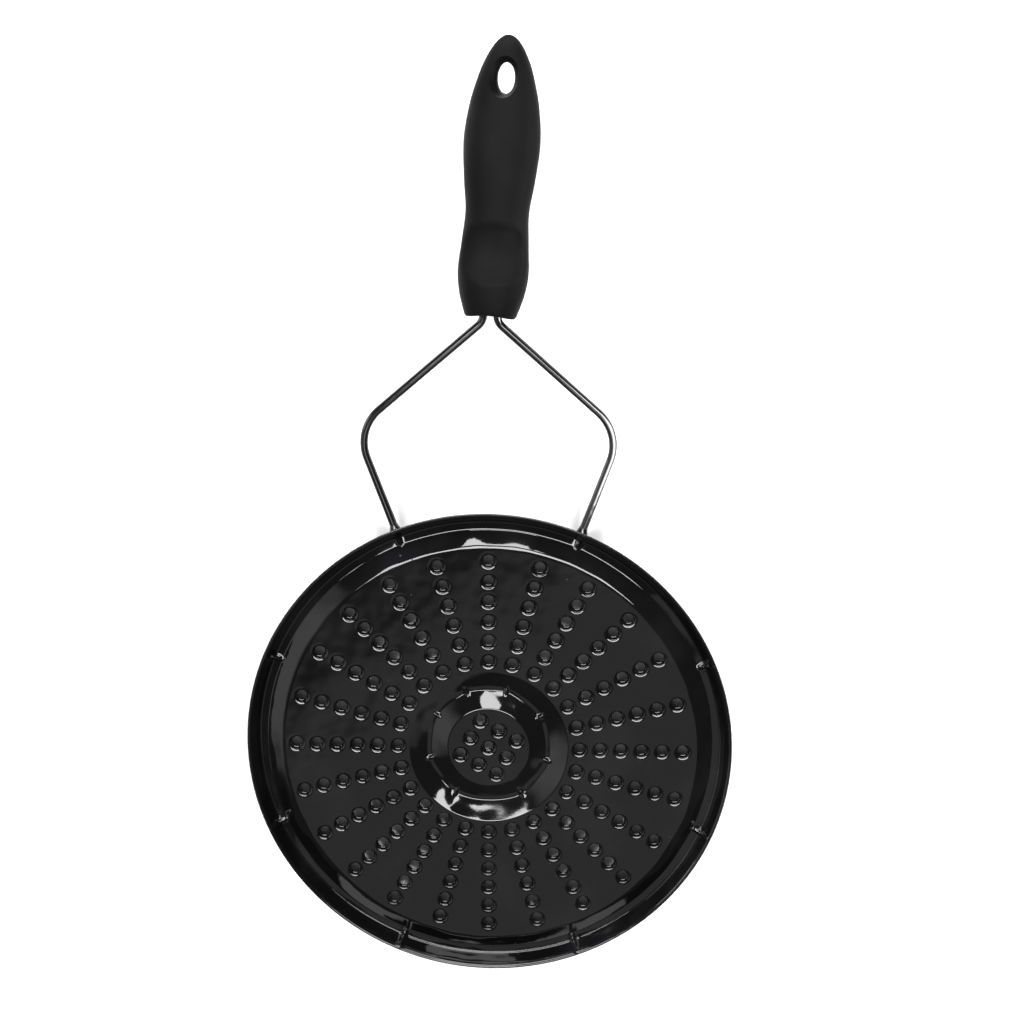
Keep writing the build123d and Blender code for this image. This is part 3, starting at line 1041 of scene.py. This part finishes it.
class DIFFUSER_OT_stage(bpy.types.Operator):
    """Builds the pale floor, the soft lights, and the camera."""

    bl_idname = "diffuser.stage"
    bl_label = "Stage"

    def execute(self, context):
        scene = context.scene
        colours = scene.diffuser_finish
        material = bpy.data.materials.new("pale_floor")
        material.use_nodes = True
        shader = material.node_tree.nodes["Principled BSDF"]
        shader.inputs["Base Color"].default_value = (*colours.backdrop, 1.0)
        shader.inputs["Roughness"].default_value = 0.9
        shader.inputs["Specular IOR Level"].default_value = 0.1
        shape = bmesh.new()
        clear, half_side = 0.5 * MM, 2.6
        level = Matrix.Translation((0, 0.1, cad_low.z - clear))
        bmesh.ops.create_grid(shape, x_segments=1, y_segments=1, size=half_side, matrix=level)
        mesh = bpy.data.meshes.new("studio_floor")
        shape.to_mesh(mesh)
        shape.free()
        mesh.materials.append(material)
        floor = bpy.data.objects.new("studio_floor", mesh)
        scene.collection.objects.link(floor)

        self.light_floor(scene, floor)
        self.light_object(scene)
        make_world(scene)

        camera = bpy.data.cameras.new("main_camera")
        camera.sensor_width = 36.0
        camera.lens = 55.75
        camera.clip_start, camera.clip_end = 0.01, 50.0
        viewer = bpy.data.objects.new("main_camera", camera)
        scene.collection.objects.link(viewer)
        right = Vector((0.99857, 0.00358, -0.0529))
        up = Vector((-0.00988, 0.97040, -0.2411))
        back = right.cross(up).normalized()
        up = back.cross(right).normalized()
        right.normalize()
        turn = Matrix((right, up, back)).transposed().to_4x4()
        viewer.matrix_world = Matrix.Translation((0.0434, 0.2651, 0.6461)) @ turn
        scene.camera = viewer
        scene.view_settings.view_transform = "Standard"
        return {"FINISHED"}

    def light_floor(self, scene, floor):
        """Four low softboxes that light only the floor, so that it is even and almost free of shadow."""
        reach, height, size, power = 2.4, 1.15, (1.4, 0.7), 125.0
        only_floor = bpy.data.collections.new("only_floor")
        only_floor.objects.link(floor)
        for index in range(4):
            angle = math.radians(45 + 90 * index)
            place = (reach * math.cos(angle), 0.1 + reach * math.sin(angle), height)
            lamp = aim_light(f"floor_box_{index}", place, (0.0, 0.1, 0.0), size, power)
            lamp.light_linking.receiver_collection = only_floor

    def light_object(self, scene):
        """Softboxes that the enamel mirrors, and small ones that light only the wires or the grip."""
        not_floor = bpy.data.collections.new("not_floor")
        scene.collection.children.link(not_floor)
        middle = Vector((0.0, 0.02, 0.0))
        distance = 1.5
        # Name, degrees round from +Y towards -X, degrees above the floor, size and power.
        boxes = [
            ("window", 2, 60, (0.5, 0.24), 4.9),
            ("back_low", 6, 27, (1.8, 0.5), 28.0),
            ("back_high", 3, 80, (1.3, 0.3), 17.0),
            ("left_low", 75, 14, (0.5, 0.25), 3.0),
        ]
        for name, turn, climb, size, power in boxes:
            lift = Matrix.Rotation(math.radians(climb), 3, "X")
            way = Matrix.Rotation(math.radians(turn), 3, "Z") @ lift @ Vector((0, 1, 0))
            lamp = aim_light(name, middle + way * distance, middle, size, power)
            lamp.light_linking.receiver_collection = not_floor
        # The pieces lit, then place, target, size and power.
        lamps = [
            ("only_grip", (0.42, 0.19, 0.25), (0.02, 0.22, 0.0), (0.3, 0.3), 1.9),
            ("only_right_wire", (0.17, 0.105, 0.12), (0.058, 0.13, 0.008), (0.2, 0.2), 2.6),
            ("only_wires", (0.05, -0.21, 0.94), (0.03, 0.16, 0.01), (0.26, 0.26), 0.9),
            ("only_grip", (0.06, -0.33, 0.76), (0.01, 0.22, 0.0), (0.4, 0.4), 3.0),
        ]
        groups = {name: bpy.data.collections.new(name) for name in dict.fromkeys(lamp[0] for lamp in lamps)}
        for name, place, target, size, power in lamps:
            lamp = aim_light("lamp_" + name, place, target, size, power)
            lamp.light_linking.receiver_collection = groups[name]


# ------------------------------------------------------------------ add-on
class DIFFUSER_PT_panel(bpy.types.Panel):
    """Lists the steps that build the plate."""

    bl_idname = "DIFFUSER_PT_panel"
    bl_label = "Heat Diffuser"
    bl_space_type = "VIEW_3D"
    bl_region_type = "UI"
    bl_category = "Diffuser"

    def draw(self, context):
        column = self.layout.column(align=True)
        for name in ("plate", "wires", "welds", "grip", "stage"):
            column.operator("diffuser." + name)
        column.separator()
        for settings in ("diffuser_plate", "diffuser_wires", "diffuser_grip", "diffuser_finish"):
            group = getattr(context.scene, settings)
            for key in group.bl_rna.properties.keys():
                if key not in ("rna_type", "name"):
                    column.prop(group, key)


SETTINGS = {
    "diffuser_plate": DiffuserPlateSettings,
    "diffuser_wires": DiffuserWireSettings,
    "diffuser_grip": DiffuserGripSettings,
    "diffuser_finish": DiffuserFinishSettings,
}
CLASSES = (
    *SETTINGS.values(),
    DIFFUSER_OT_plate,
    DIFFUSER_OT_wires,
    DIFFUSER_OT_welds,
    DIFFUSER_OT_grip,
    DIFFUSER_OT_stage,
    DIFFUSER_PT_panel,
)


def register():
    for cls in CLASSES:
        bpy.utils.register_class(cls)
    for name, cls in SETTINGS.items():
        setattr(bpy.types.Scene, name, PointerProperty(type=cls))


def unregister():
    for name in SETTINGS:
        delattr(bpy.types.Scene, name)
    for cls in reversed(CLASSES):
        bpy.utils.unregister_class(cls)


def main():
    """Registers the add-on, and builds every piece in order."""
    register()
    bpy.ops.diffuser.stage()
    make_finishes()
    bpy.ops.diffuser.plate()
    bpy.ops.diffuser.wires()
    bpy.ops.diffuser.welds()
    bpy.ops.diffuser.grip()


if __name__ == "__main__":
    main()
